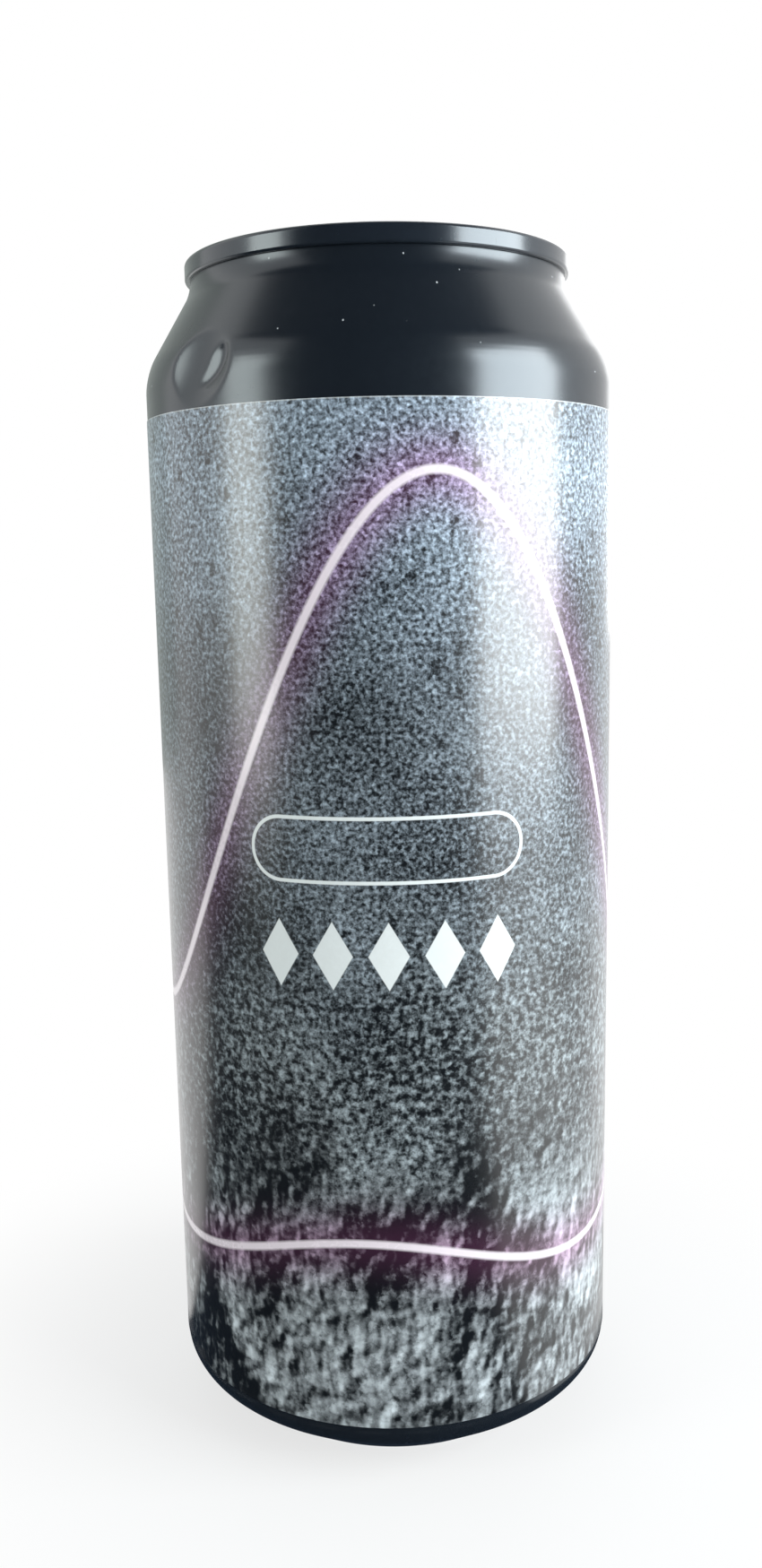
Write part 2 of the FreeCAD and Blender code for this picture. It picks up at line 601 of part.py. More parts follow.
def set_rivet(body):
    """Rivet drawn up out of the panel: seat, shank through the tab, and flattened head."""
    profile = make_sketch(body, "rivet_profile", "XZ_Plane")
    root = f"({DEBOSS_HEIGHT} - dims.end_floor)"
    dimple = f"({HEAD_TOP} - dims.head_dimple_depth)"
    corners = [
        ("0", root),
        ("dims.boss_radius", root),
        ("dims.boss_radius", WEB_BOTTOM),
        ("dims.shank_radius", WEB_BOTTOM),
        ("dims.shank_radius", WEB_TOP),
        ("dims.head_radius", WEB_TOP),
        ("dims.head_radius", HEAD_TOP),
        ("dims.head_dimple_radius", HEAD_TOP),
        ("dims.head_dimple_radius / 2", dimple),
        ("0", dimple),
    ]
    draw_polygon(profile, corners)
    rivet = revolve(body, "rivet", profile)
    fillet(body, "rivet_rounding", ring_edges(rivet, corners[6]), "dims.head_fillet")


def build_tab():
    """Stay-on tab: curled edge, thin web with a slotted island for the rivet, and a finger hole."""
    body = make_body("tab")
    outline = make_sketch(body, "tab_outline", height=TAB_BOTTOM)
    draw_tapered_slot(
        outline,
        "(dims.tab_nose_radius - dims.tab_nose_reach)",
        "dims.tab_nose_radius",
        TAB_HEEL_CENTRE,
        "dims.tab_heel_radius",
    )
    blank = extrude(body, "Pad", "tab_blank", outline, "dims.tab_thickness")
    faces = [level_face(blank, h, up, (0, 0)) for h, up in ((TAB_TOP, True), (TAB_BOTTOM, False))]
    edges = wire_edges(blank, *(face.OuterWire for face in faces))
    fillet(body, "tab_curl", edges, f"min(dims.tab_curl_fillet; {EDGE_LIMIT})")

    top_recess = make_sketch(body, "web_outline_above", height=TAB_TOP)
    draw_circle(top_recess, WEB_RADIUS)
    sunk = extrude(body, "Pocket", "web_above", top_recess, WEB_DEPTH)
    rim = level_face(sunk, TAB_TOP, True, (0, number(sunk, "dims.tab_heel_reach")))
    rounding = f"min(dims.web_fillet; 0.9 * {WEB_DEPTH})"
    fillet(body, "web_rounding", wire_edges(sunk, *inner_wires(rim)), rounding)
    under_recess = make_sketch(body, "web_outline_below", height=TAB_BOTTOM)
    draw_circle(under_recess, WEB_RADIUS)
    extrude(body, "Pocket", "web_below", under_recess, "dims.web_lift", upwards=True)

    island = make_sketch(body, "island_outline", height=TAB_TOP)
    draw_arc_slot(
        island, "0", "dims.island_radius", "dims.island_slot", 90, "(180 - dims.island_hinge / 2)"
    )
    extrude(body, "Pocket", "island_slot", island)
    hole = make_sketch(body, "rivet_hole_outline", height=TAB_TOP)
    draw_circle(hole, "dims.shank_radius")
    extrude(body, "Pocket", "rivet_hole", hole)

    finger = make_sketch(body, "finger_outline", height=TAB_TOP)
    draw_rounded_rectangle(finger, FINGER_WIDTH, FINGER_LENGTH, FINGER_START, FINGER_CORNER)
    holed = extrude(body, "Pocket", "finger_hole", finger)
    heel = (0, number(holed, "dims.tab_heel_reach"))
    wires = [
        wire
        for height, up in ((TAB_TOP, True), (TAB_BOTTOM, False))
        for wire in inner_wires(level_face(holed, height, up, heel))
        if wire.BoundBox.YMin > number(holed, WEB_RADIUS)
    ]
    rounding = f"min(dims.finger_fillet; {EDGE_LIMIT})"
    fillet(body, "finger_rounding", wire_edges(holed, *wires), rounding)
    return body


def check(bodies):
    """Stops on any failed object, loose sketch or broken solid."""
    doc.recompute()
    for thing in doc.Objects:
        if "Invalid" in thing.State or "Error" in thing.State:
            raise RuntimeError(f"{thing.Name} failed: {thing.State}")
        if thing.isDerivedFrom("Sketcher::SketchObject") and thing.solve() != 0:
            raise RuntimeError(f"{thing.Name} can't be solved")
    for body in bodies:
        shape = body.Shape
        if shape.isNull() or not shape.isValid() or len(shape.Solids) != 1:
            raise RuntimeError(f"{body.Label} is not one valid solid")


def main():
    make_sheet()
    bodies = [build_can_body(), build_label(), build_can_end(), build_tab()]
    check(bodies)
    os.makedirs("parts", exist_ok=True)
    for body in bodies:
        body.Shape.exportStep(f"parts/{body.Label}.step")
        box = body.Shape.BoundBox
        print(
            f"{body.Label}: {body.Shape.Volume:.1f} mm3, {len(body.Shape.Faces)} faces, "
            f"z {box.ZMin:.2f} to {box.ZMax:.2f}"
        )


main()
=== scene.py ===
"""Looks of a half-litre drinks can: black lacquered body, printed film label, black end and tab."""

import math
from typing import NamedTuple

import bmesh
import bpy
from bpy.props import FloatProperty, FloatVectorProperty, IntProperty, PointerProperty
from mathutils import Matrix, Vector


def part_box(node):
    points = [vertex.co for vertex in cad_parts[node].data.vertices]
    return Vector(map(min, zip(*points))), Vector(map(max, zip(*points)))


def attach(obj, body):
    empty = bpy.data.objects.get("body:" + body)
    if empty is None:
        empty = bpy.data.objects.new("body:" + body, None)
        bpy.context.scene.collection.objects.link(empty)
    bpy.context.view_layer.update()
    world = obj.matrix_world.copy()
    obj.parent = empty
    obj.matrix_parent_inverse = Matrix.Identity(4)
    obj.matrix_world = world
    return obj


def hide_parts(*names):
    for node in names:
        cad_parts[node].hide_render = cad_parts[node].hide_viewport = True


bl_info = {
    "name": "Drinks Can",
    "version": (1, 0, 0),
    "blender": (4, 5, 0),
    "location": "View3D > Sidebar > Drinks Can",
    "description": "Builds and finishes a half-litre drinks can round its packed frame",
    "category": "Add Mesh",
}

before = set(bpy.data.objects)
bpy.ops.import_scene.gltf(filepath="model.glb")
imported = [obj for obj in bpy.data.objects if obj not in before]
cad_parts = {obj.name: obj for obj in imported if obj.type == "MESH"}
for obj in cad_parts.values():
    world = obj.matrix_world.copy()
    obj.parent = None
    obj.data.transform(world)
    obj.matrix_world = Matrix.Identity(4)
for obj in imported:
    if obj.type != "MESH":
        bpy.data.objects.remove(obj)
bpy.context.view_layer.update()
BODY_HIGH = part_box("can_body")[1]
LABEL_LOW, LABEL_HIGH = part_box("label")
END_LOW, END_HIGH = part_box("can_end")

BODY = "root"
TURN = 2 * math.pi
UP = Vector((0, 0, 1))
ORIGIN = (0, 0, 0)
WHITE = (1.0, 1.0, 1.0)
WELD = 1e-7
DISH_REACH = 1.6


# ---------------------------------------------------------------- properties

def length(name, description, default):
    return FloatProperty(
        name=name, description=description, default=default, unit="LENGTH", precision=5
    )


def angle(name, description, degrees):
    return FloatProperty(
        name=name, description=description, default=math.radians(degrees), subtype="ANGLE"
    )


def share(name, description, default):
    return FloatProperty(
        name=name, description=description, default=default, min=0, max=1, subtype="FACTOR"
    )


def amount(name, description, default):
    return FloatProperty(name=name, description=description, default=default, min=0)


def colour(name, description, default):
    return FloatVectorProperty(
        name=name, description=description, default=default, size=3, min=0, max=1, subtype="COLOR"
    )


class CanShape(bpy.types.PropertyGroup):
    """Sizes of the drawn body."""

    steps: IntProperty(name="Steps", description="Facets round the can", default=512, min=64)
    body_radius: length("Body radius", "Outside of the straight wall", BODY_HIGH.x)
    body_top: length("Body top", "Top of the neck, under the seam", BODY_HIGH.z)
    end_floor: length("End floor", "Underside of the end's plug", END_LOW.z)
    stand_radius: length("Stand radius", "Middle of the ring that the can stands on", 0.0239)
    stand_flat: length("Stand flat", "Width of that ring", 0.0005)
    nose_fillet: length("Nose rounding", "Rounding each side of the ring", 0.0014)
    foot_angle: angle("Foot slope", "Slope of the foot's cone above the ground", 38)
    heel_fillet: length("Heel rounding", "Rounding from the cone into the wall", 0.004)
    leg_height: length("Leg height", "Height of the leg inside the ring", 0.0044)
    leg_lean: angle("Leg lean", "Inward lean of that leg", 5)
    dome_depth: length("Dome depth", "Middle of the dome above the ground", 0.0104)
    dome_fillet: length("Dome rounding", "Rounding from the leg into the dome", 0.0013)
    shoulder_angle: angle("Shoulder slope", "Slope of the shoulder off the vertical", 31)
    shoulder_fillet: length("Shoulder rounding", "From the wall into the shoulder", 0.009)
    neck_fillet: length("Neck rounding", "From the shoulder into the neck", 0.0055)
    neck_radius: length("Neck radius", "Outside of the neck", 0.0264)
    neck_land: length("Neck land", "Neck between the seam and the shoulder's slope", 0.0016)
    neck_wall: length("Neck wall", "Neck outside the end's plug", 0.0005)


class CanSeam(bpy.types.PropertyGroup):
    """Sizes of the end's outer ring."""

    steps: IntProperty(name="Steps", description="Facets round the end", default=256, min=64)
    width: length("Seam width", "Inside to outside", 0.00125)
    crown: length("Seam crown", "Rounding of the seam's top", 0.0006)
    hem: length("Seam hem", "Rounding of the seam's lower edge", 0.0004)
    chuck_angle: angle("Chuck wall's lean", "Lean of the wall inside the seam", 14)
    sink_depth: length("Countersink depth", "Below the seam's top", 0.0065)
    sink_width: length("Countersink width", "Width of its floor before rounding", 0.0013)
    sink_fillet: length("Countersink rounding", "At both sides of its floor", 0.0005)
    panel_depth: length("Panel depth", "Below the seam's top", 0.0042)
    panel_fillet: length("Panel rounding", "Round the panel", 0.0005)


class CanDent(bpy.types.PropertyGroup):
    """The knock in the shoulder."""

    bearing: angle("Bearing", "Round the can from the front, to the left", -41.0)
    height: length("Height", "Middle of the hollow above the ground", 0.1510)
    tilt: angle("Tilt", "Upward tilt of the wall there", 14)
    size: length("Size", "Half the width of the hollow", 0.0053)
    depth: length("Depth", "Deepest point inside the wall's own curve", 0.00115)
    lip: length("Lip", "Softness of the hollow's edges", 0.00006)


class CanLabel(bpy.types.PropertyGroup):
    """Sizes and colours of the printed film label."""

    thickness: length("Thickness", "One layer of film", 0.0001)
    lap: length("Lap", "Length of the lap at the back", 0.007)
    pale: colour("Pale stone", "Speckle at the top", (0.168, 0.208, 0.250))
    mid: colour("Mid stone", "Speckle at half height", (0.064, 0.077, 0.088))
    low: colour("Low stone", "Flakes below half height", (0.054, 0.063, 0.067))
    patch: colour("Patches", "Mottling near the foot", (0.076, 0.084, 0.088))
    dark: colour("Dark stone", "Darkest print anywhere", (0.0035, 0.0050, 0.0065))
    line: colour("Line", "Core of the glowing lines", (0.76, 0.68, 0.73))
    glow: colour("Glow", "Haze each side of the glowing lines", (0.32, 0.05, 0.20))
    mark: colour("Marks", "Lozenges and frame", (0.70, 0.74, 0.735))
    paper: colour("Cut edge", "Film's own colour at its cut edge", (0.75, 0.76, 0.74))
    line_width: length("Line width", "Core of the glowing lines", 0.0011)
    glow_width: length("Glow width", "Reach of the haze", 0.0042)
    wave_height: length("Wave height", "Middle of the tall wave", 0.1010)
    wave_swing: length("Wave swing", "Half of the tall wave's height", 0.0370)
    ripple_height: length("Ripple height", "Middle of the low wave", 0.0330)
    ripple_swing: length("Ripple swing", "Half of the low wave's height", 0.0034)
    frame_height: length("Frame height", "Middle of the thin frame", 0.0905)
    lozenge_height: length("Lozenge height", "Middle of the row of lozenges", 0.0765)


class CanLacquer(bpy.types.PropertyGroup):
    """Colours and gloss of the metal parts."""

    black: colour("Black", "Lacquer on the body", (0.0066, 0.0092, 0.0130))
    end_black: colour("End black", "Lacquer on the end and the tab", (0.0070, 0.0096, 0.0138))
    sheen: colour("Sheen", "Tint of the lacquer's reflections", (0.76, 0.90, 1.0))
    dust: colour("Dust", "Specks on the shoulder", (0.60, 0.64, 0.66))
    aluminium: colour("Aluminium", "Bare metal under the foot and in the score", (0.80, 0.81, 0.82))
    roughness: share("Roughness", "Satin lacquer on the body", 0.25)
    end_roughness: share("End roughness", "Gloss lacquer on the end", 0.22)


class CanStage(bpy.types.PropertyGroup):
    """Camera, floor and lamps."""

    camera_distance: length("Camera distance", "In front of the can's axis", 0.20049)
    camera_height: length("Camera height", "Above the floor", 0.12844)
    camera_pitch: angle("Camera pitch", "Downwards", 9.903)
    camera_yaw: angle("Camera yaw", "To the right", -0.220)
    camera_roll: angle("Camera roll", "Anticlockwise", -1.043)
    camera_lens: FloatProperty(
        name="Lens", description="Focal length", default=30.875, min=1, unit="CAMERA"
    )
    floor_colour: colour("Floor", "Pale table top", (0.86, 0.87, 0.87))
    dark_card: colour("Dark card", "Cards that darken the reflections", (0.018, 0.028, 0.045))
    grey_card: colour("Grey card", "Card behind on the left", (0.42, 0.46, 0.44))
    fill: amount("Fill", "Light from all round", 0.40)
    window: amount("Window", "Brightness of the tall lamp on the right", 9.6)
    side: amount("Side", "Brightness of the narrow lamp on the left", 4.7)
    back: amount("Back", "Brightness of the lamp behind", 1.3)
    bounce: amount("Bounce", "Brightness of the small lamp that lies on the right", 0.8)


# ---------------------------------------------------------------- shader maths

class Signal:
    """A shader socket that takes part in Python arithmetic: each operator adds a Math node."""

    def __init__(self, recipe, socket):
        self.recipe = recipe
        self.socket = socket

    def math(self, operation, *others, clamp=False):
        settings = {"operation": operation, "use_clamp": clamp}
        return self.recipe.node("ShaderNodeMath", settings, [self, *others])

    def flipped(self, operation, other):
        return self.recipe.node("ShaderNodeMath", {"operation": operation}, [other, self])

    def __add__(self, other):
        return self.math("ADD", other)

    __radd__ = __add__

    def __sub__(self, other):
        return self.math("SUBTRACT", other)

    def __rsub__(self, other):
        return self.flipped("SUBTRACT", other)

    def __mul__(self, other):
        return self.math("MULTIPLY", other)

    __rmul__ = __mul__

    def __truediv__(self, other):
        return self.math("DIVIDE", other)

    def __rtruediv__(self, other):
        return self.flipped("DIVIDE", other)

    def __pow__(self, other):
        return self.math("POWER", other)

    def __neg__(self):
        return self.math("MULTIPLY", -1)

    def __abs__(self):
        return self.math("ABSOLUTE")

    def clamped(self):
        return self.math("ADD", 0, clamp=True)

    def rising(self, low, high):
        """0 below low, 1 above high, smooth in between."""
        settings = {"interpolation_type": "SMOOTHSTEP"}
        return self.recipe.node("ShaderNodeMapRange", settings, [self, low, high, 0, 1])


class Recipe:
    """A material's node tree, with one call for adding a node and joining it."""

    def __init__(self, owner):
        owner.use_nodes = True
        self.owner = owner
        self.tree = owner.node_tree
        self.tree.nodes.clear()

    def node(self, kind, settings=None, inputs=None, output=0):
        """Adds a node. Settings come first, then inputs, by name or in order, then the output."""
        made = self.tree.nodes.new(kind)
        for key, value in (settings or {}).items():
            setattr(made, key, value)
        sockets = [s for s in made.inputs if s.enabled]
        if isinstance(inputs, dict):
            pairs = [(next(s for s in sockets if s.name == key), v) for key, v in inputs.items()]
        else:
            pairs = zip(sockets, inputs or [])
        for socket, value in pairs:
            self.feed(socket, value)
        outputs = [s for s in made.outputs if s.enabled]
        if isinstance(output, str):
            return Signal(self, next(s for s in outputs if s.name == output))
        return Signal(self, outputs[output]) if outputs else None

    def feed(self, socket, value):
        if isinstance(value, Signal):
            self.tree.links.new(value.socket, socket)
        elif socket.type == "RGBA":
            socket.default_value = (*value, 1)
        else:
            socket.default_value = value

    def mix(self, factor, first, second, blend="MIX"):
        """Two colours mixed."""
        settings = {"data_type": "RGBA", "blend_type": blend}
        return self.node("ShaderNodeMix", settings, [factor, first, second])

    def noise(self, vector, scale, detail=2.0, roughness=0.5, distortion=0.0, flat=True):
        settings = {"noise_dimensions": "2D" if flat else "3D"}
        inputs = {
            "Vector": vector, "Scale": scale, "Detail": detail,
            "Roughness": roughness, "Distortion": distortion,
        }
        return self.node("ShaderNodeTexNoise", settings, inputs)

    def place(self):
        """The point on the piece, in metres, as three numbers and as a vector."""
        point = self.node("ShaderNodeTexCoord", output="Object")
        axes = [self.node("ShaderNodeSeparateXYZ", None, [point], output=k) for k in range(3)]
        return point, *axes

    def bump(self, height, distance):
        """Relief whose height runs from 0 to 1 times a distance in metres."""
        return self.node(
            "ShaderNodeBump", None, {"Strength": 1.0, "Distance": distance, "Height": height}
        )

    def sheet(self, along, up):
        """A place on a flat sheet, for a pattern in two dimensions."""
        return self.node("ShaderNodeCombineXYZ", None, [along, up, 0.0])

    def cells(self, vector, scale):
        """How far the nearest of many spots on a sheet is, and two random numbers for each."""
        settings = {"voronoi_dimensions": "2D", "feature": "F1"}
        inputs = {"Vector": vector, "Scale": scale}
        distance, kind = (
            self.node("ShaderNodeTexVoronoi", settings, inputs, output)
            for output in ("Distance", "Color")
        )
        chances = [
            self.node("ShaderNodeSeparateColor", None, [kind], output)
            for output in ("Red", "Green")
        ]
        return distance, *chances

    def finish(self, **inputs):
        """Principled shader with these inputs, to the output."""
        named = {key.replace("_", " ").title(): value for key, value in inputs.items()}
        shader = self.node("ShaderNodeBsdfPrincipled", None, named)
        self.node("ShaderNodeOutputMaterial", None, [shader])
        return self.owner


def new_recipe(name):
    return Recipe(bpy.data.materials.new(name))


# ---------------------------------------------------------------- materials

def lacquer_material(look, shape):
    """Satin black lacquer with dust, and bare metal inside the ring that the can stands on."""
    r = new_recipe("satin_black_lacquer")
    point, x, y, z = r.place()
    radius = (x * x + y * y) ** 0.5

    inside_ring = 1 - radius.rising(shape.stand_radius - 0.0010, shape.stand_radius - 0.0003)
    under_foot = 1 - z.rising(0.020, 0.021)
    bare = inside_ring * under_foot
    worn = 1 - z.rising(0.00015, 0.0005)
    uncoated = (bare + worn * 0.7).clamped()

    cloud = r.noise(point, 90, 3, 0.55, flat=False)
    fine = r.noise(point, 900, 2, 0.5, flat=False)
    peel = r.noise(point, 2600, 1, 0.5, flat=False)

    # a few specks of dust, each of its own size, on the unrolled wall
    around = x.math("ARCTAN2", -y) * shape.body_radius
    speck, chance, size = r.cells(r.sheet(around, z), 230.0)
    dust = (1 - (speck - size * 0.022).rising(0.004, 0.014)) * chance.rising(0.84, 0.86)

    tone = r.mix(fine * 0.5, look.black, [c * 1.5 for c in look.black])
    tone = r.mix(dust * 0.8, tone, look.dust)
    metal = r.mix(fine, look.aluminium, [c * 0.78 for c in look.aluminium])
    tone = r.mix(uncoated, tone, metal)

    rolled = r.node("ShaderNodeMapping", None, {"Vector": point, "Scale": (0.05, 1.0, 0.3)})
    rings = r.noise(rolled, 2600, 3, 0.6, flat=False)
    roughness = look.roughness + (cloud - 0.5) * 0.10 + (fine - 0.5) * 0.06
    roughness = roughness * (1 - uncoated) + (0.30 + rings * 0.12) * uncoated
    height = peel * 0.35 + fine * 0.5 + dust * 1.5 + rings * bare
    return r.finish(
        base_color=tone,
        metallic=uncoated,
        roughness=roughness + dust * 0.4,
        specular_tint=look.sheen,
        coat_weight=(1 - uncoated) * 0.6,
        coat_roughness=0.22,
        normal=r.bump(height, 0.0000035),
    )


def stroke(distance, width, soft):
    """1 within half a width of a line, with a soft edge."""
    return ((width / 2 - abs(distance)) / soft + 0.5).clamped()


def stone_speckle(r, design, turn, along, z):
    """The print's ground: fine speckle above, flakes and chips at half height, and pebbles in
    light and dark drifts below. Also gives the noises that the film's finish shares.
    """
    flat = r.sheet(along, z)
    streaky = r.sheet(along, z * 0.62)
    grit = r.cells(flat, 2500.0)[1] - 0.5
    grain = r.noise(flat, 1650, 2, 0.6) - 0.5
    flakes = r.noise(flat, 900, 3, 0.6) - 0.5
    crumbs = r.noise(flat, 1300, 2, 0.5) - 0.5
    drifts = r.noise(streaky, 70, 3, 0.55, 0.8) - 0.5
    cloud = r.noise(flat, 55, 3, 0.5) - 0.5

    # one spot in eight is a pale chip, and one in six a dark pit
    chip_at, chip_kind, _ = r.cells(streaky, 330.0)
    fleck = 1 - (chip_at + flakes * 0.6).rising(0.10, 0.24)
    chips = fleck * chip_kind.rising(0.86, 0.88)
    pits = fleck * (1 - chip_kind.rising(0.16, 0.18))

    # pebbles of uneven outline, and a relief that is lit from one side
    shaken = r.sheet(along + crumbs * 0.0022, z * 0.85 + flakes * 0.0020)
    pebble_at, pebble_kind, _ = r.cells(shaken, 800.0)
    pebbles = (0.42 - pebble_at) * 2.0 + (pebble_kind - 0.5) * 1.3
    moved = r.sheet(along - 0.00056, z * 0.62 + 0.00042)
    relief = r.noise(streaky, 580, 1, 0.5, 0.2) - r.noise(moved, 580, 1, 0.5, 0.2)

    # where each of the three grounds lies, and how strong its pattern is
    uneven = z + drifts * 0.030
    flaky = 1 - uneven.rising(0.058, 0.094)
    coarse = 1 - uneven.rising(0.034, 0.058)
    lower = 1 - z.rising(0.085, 0.140)
    fine = (grain * 2.4 + grit * 0.50) * (1 + lower * 0.65) + cloud * (0.6 + lower * 0.9)
    fine = fine + chips * 0.34 - pits * 0.50
    medium = grain * 2.2 + flakes * 5.6 + grit * 0.46 + cloud * 1.8 + chips * 1.0
    rough = relief * 3.0 + pebbles * 0.44 + drifts * 5.4 + crumbs * 0.9 + grain * 0.7 + chips * 0.4
    shade = fine * (1 - flaky) + medium * (flaky - coarse) + rough * coarse

    # painted light: the lower part of the side that faces the window lamp is made brighter, and the
    # print's brightness gets a soft shoulder
    painted_lit_side = (turn - 0.85).math("COSINE") * (1 - z.rising(0.070, 0.125))
    shade = shade + (painted_lit_side - 0.35) * 0.32 * lower
    steep = (shade + 1).math("MAXIMUM", 0.0) ** 2.2
    bright = steep * 1.08 / (steep * 0.08 + 1)

    stone = r.mix(z.rising(0.104, 0.141), design.mid, design.pale)
    stone = r.mix(flaky, stone, design.low)
    stone = r.mix(coarse, stone, design.patch)
    grey = r.node("ShaderNodeCombineColor", None, [bright] * 3)
    stone = r.mix(1.0, stone, grey, "MULTIPLY")
    ground = r.mix(1.0, stone, design.dark, "ADD")
    return ground, cloud, crumbs, grain


def distance_to_wave(turn, z, wrap, height, swing, periods, phase):
    """How far a place on the label is from a wave that runs round it."""
    swung = turn * periods + phase
    slope = swung.math("COSINE") * (swing * periods / wrap)
    rise = z - height - swung.math("SINE") * swing
    return abs(rise / (slope * slope + 1) ** 0.5)


def glowing_waves(r, design, turn, z, wrap, ground):
    """The ground with the two waves on it, and where their cores are."""
    tall = distance_to_wave(turn, z, wrap, design.wave_height, design.wave_swing, 2, 1.15)
    low = distance_to_wave(turn, z, wrap, design.ripple_height, design.ripple_swing, 3, 1.9)
    near = tall.math("MINIMUM", low)
    ratio = near / design.glow_width
    haze = (-(ratio * ratio)).math("EXPONENT")
    tint = r.mix(haze, WHITE, (1.18, 0.78, 1.00))
    ground = r.mix(1.0, ground, tint, "MULTIPLY")
    ground = r.mix(haze * 0.10, ground, design.glow)
    core = stroke(near, design.line_width, 0.00040)
    return r.mix(core * 0.95, ground, design.line), core


def printed_marks(design, along, z):
    """1 on the thin long frame with round ends and on the row of lozenges."""
    frame_half, frame_rounding, frame_line = 0.0185, 0.0042, 0.00048
    straight = (abs(along) - (frame_half - frame_rounding)).math("MAXIMUM", 0.0)
    rise = z - design.frame_height
    rim = (straight * straight + rise * rise) ** 0.5 - frame_rounding
    marks = stroke(rim, frame_line, 0.0001)

    pitch, half_width, half_height = 0.0074, 0.0027, 0.0046
    slot = (along / pitch).math("ROUND") * pitch
    lozenge = abs(along - slot) / half_width + abs(z - design.lozenge_height) / half_height
    middle_five = 1 - abs(slot).rising(pitch * 2.2, pitch * 2.4)
    return marks.math("MAXIMUM", (1 - lozenge.rising(0.97, 1.03)) * middle_five)


def label_material(design):
    """Printed film: stone speckle, glowing waves, marks, and the film's own pale cut edge."""
    r = new_recipe("printed_film")
    _, x, y, z = r.place()
    wrap = LABEL_HIGH.x
    turn = x.math("ARCTAN2", -y)
    along = turn * wrap

    ground, cloud, crumbs, grain = stone_speckle(r, design, turn, along, z)
    print_colour, core = glowing_waves(r, design, turn, z, wrap, ground)
    print_colour = r.mix(printed_marks(design, along, z) * 0.94, print_colour, design.mark)

    top_edge = z.rising(LABEL_HIGH.z - 0.00016, LABEL_HIGH.z - 0.00010)
    radius = (x * x + y * y) ** 0.5
    inner_side = 1 - radius.rising(wrap - 0.00006, wrap - 0.00003)
    cut = top_edge.math("MAXIMUM", inner_side)
    print_colour = r.mix(cut * 0.40, print_colour, design.paper)

    waver = r.noise(r.sheet(along, z), 38, 2, 0.5)
    return r.finish(
        base_color=print_colour,
        roughness=0.30 + cloud * 0.10 + crumbs * 0.05 - core * 0.03,
        coat_weight=0.70,
        coat_roughness=0.22,
        normal=r.bump(waver * 26 + crumbs * 1.0 + grain * 0.8, 0.0000030),
    )


def score_grooves(x, y, z):
    """1 in the score line round the mouth, down in the end's sunk field."""
    mouth_middle, half_width, half_length = -0.0118, 0.0108, 0.0081
    field = END_HIGH.z - 0.00455
    across = x / half_width
    along = (y - mouth_middle) / half_length
    oval = (across * across + along * along) ** 0.5
    outline = oval.rising(0.955, 0.965) * (1 - oval.rising(1.0, 1.01))
    below_field = 1 - z.rising(field - 0.00009, field - 0.00003)
    above_underside = z.rising(field - 0.00045, field - 0.00025)
    return outline * below_field * above_underside


def end_material(look, name, scored):
    """Gloss black lacquer on the end and the tab, with bare metal in a scored end's grooves."""
    r = new_recipe(name)
    point, x, y, z = r.place()
    cloud = r.noise(point, 160, 3, 0.55, flat=False)
    peel = r.noise(point, 2400, 1, 0.5, flat=False)
    scuff_way = r.node("ShaderNodeMapping", None, {"Vector": point, "Scale": (1.0, 6.0, 1.0)})
    scuffs = r.noise(scuff_way, 700, 3, 0.6, flat=False)
    tone = r.mix(cloud, look.end_black, [c * 1.6 for c in look.end_black])
    bare = 0.0
    if scored:
        bare = score_grooves(x, y, z)
        tone = r.mix(bare, tone, look.aluminium)
    roughness = look.end_roughness + (cloud - 0.5) * 0.08 + scuffs.rising(0.62, 0.80) * 0.18
    return r.finish(
        base_color=tone,
        metallic=bare,
        roughness=roughness,
        specular_tint=look.sheen,
        coat_weight=0.7,
        coat_roughness=0.16,
        normal=r.bump(peel * 0.6 + cloud * 2, 0.0000025),
    )


# ---------------------------------------------------------------- modelling

def turned_corner(bm, vert, rounding, step):
    """Rounds a corner of a wire to a radius, with facets no longer than a step in angle."""
    before, after = (edge.other_vert(vert) for edge in vert.link_edges)
    turn = (vert.co - before.co).angle(after.co - vert.co)
    bmesh.ops.bevel(
        bm,
        geom=[vert],
        offset=rounding * math.tan(turn / 2),
        offset_type="OFFSET",
        segments=max(2, math.ceil(turn / step)),
        profile=0.5,
        affect="VERTICES",
        material=-1,
    )


def add_outline(bm, start, corners, step):
    """Carries a wire on from its last corner, and rounds each corner that has a rounding.

    The start is a vertex and its rounding. Each other corner is a radius, a height and its
    rounding.
    """
    last = start[0]
    rounded = [start]
    for radius, height, rounding in corners:
        vert = bm.verts.new((radius, 0, height))
        bm.edges.new((last, vert))
        rounded.append((vert, rounding))
        last = vert
    for vert, rounding in rounded:
        if rounding:
            turned_corner(bm, vert, rounding, step)


def cut_long_edges(bm, low, high, longest):
    """Cuts the wire's edges between two heights into pieces no longer than given."""
    for edge in list(bm.edges):
        middle = (edge.verts[0].co.z + edge.verts[1].co.z) / 2
        cuts = math.ceil(edge.calc_length() / longest) - 1
        if cuts > 0 and low < middle < high:
            bmesh.ops.subdivide_edges(bm, edges=[edge], cuts=cuts)


def spin_wire(bm, steps):
    """Turns everything in the mesh once round the can's axis: a thirty-second, then doubled."""
    doublings = 5
    sector = TURN / 2**doublings
    bmesh.ops.spin(
        bm,
        geom=[*bm.verts, *bm.edges],
        cent=ORIGIN,
        axis=UP,
        angle=sector,
        steps=steps // 2**doublings,
    )
    bmesh.ops.remove_doubles(bm, verts=bm.verts, dist=WELD)
    for _ in range(doublings):
        copy = bmesh.ops.duplicate(bm, geom=[*bm.verts, *bm.edges, *bm.faces])
        moved = [g for g in copy["geom"] if isinstance(g, bmesh.types.BMVert)]
        bmesh.ops.rotate(bm, verts=moved, cent=ORIGIN, matrix=Matrix.Rotation(sector, 3, "Z"))
        sector *= 2


def close_turn(bm):
    """Joins what meets after a turn, and points the faces outwards."""
    bmesh.ops.remove_doubles(bm, verts=bm.verts, dist=WELD)
    bmesh.ops.recalc_face_normals(bm, faces=bm.faces)


